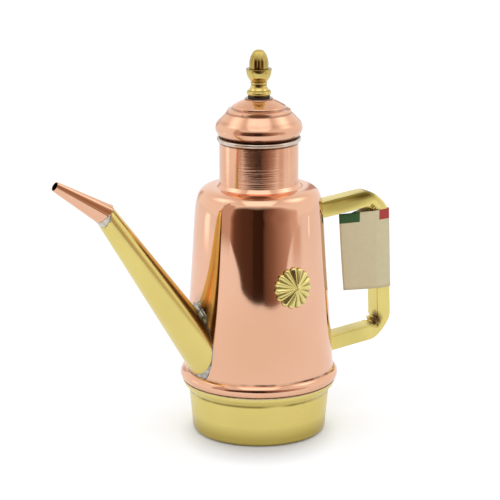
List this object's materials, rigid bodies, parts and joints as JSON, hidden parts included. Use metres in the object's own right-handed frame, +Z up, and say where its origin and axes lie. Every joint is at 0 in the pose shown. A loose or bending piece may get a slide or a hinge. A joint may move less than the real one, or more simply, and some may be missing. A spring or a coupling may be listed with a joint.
{
  "type": "oil cruet",
  "caption": "Copper kitchen oil cruet on a brass foot, with a long tapered brass spout, a fine copper nozzle, a square D handle and a lift-off lid with a turned knob.",
  "frame": {"origin": "centre of the base cup's standing face, on the body's turning axis", "axes": "+Z up along the body's axis, the spout leans to -X, the handle is at +X, the rosette faces -Y"},
  "size_m": [0.2431, 0.1024, 0.2499],
  "materials": {
    "copper": "polished copper sheet",
    "brass": "satin brass sheet",
    "tinned_copper": "copper roll with a tinned face",
    "solder": "dull soft solder",
    "paper": "uncoated card",
    "dark_washer": "dark fibre washer",
    "steel": "plain steel"
  },
  "bodies": {
    "vessel": {"base_cup": "brass", "body_shell": "copper", "foot_bead": "copper", "foot_bead_solder": "solder", "handle": "brass", "handle_high_solder": "solder", "handle_low_solder": "solder", "neck_solder": "solder", "neck_tube": "copper", "nozzle": "copper", "nozzle_solder": "solder", "rim_roll": "tinned_copper", "rosette": "brass", "rosette_solder": "solder", "spout_root_solder": "solder", "spout_tube": "brass", "tag": "paper"},
    "lid": {"knob": "brass", "knob_screw": "steel", "knob_washer": "dark_washer", "lid_dome": "copper", "lid_sleeve": "copper", "lid_sleeve_solder": "solder", "screw_washer": "steel"}
  },
  "joints": [
    {"name": "lid_lift", "type": "slide", "parent": "vessel", "child": "lid", "axis": [0, 0, 1], "range_m": [0, 0.05]}
  ]
}
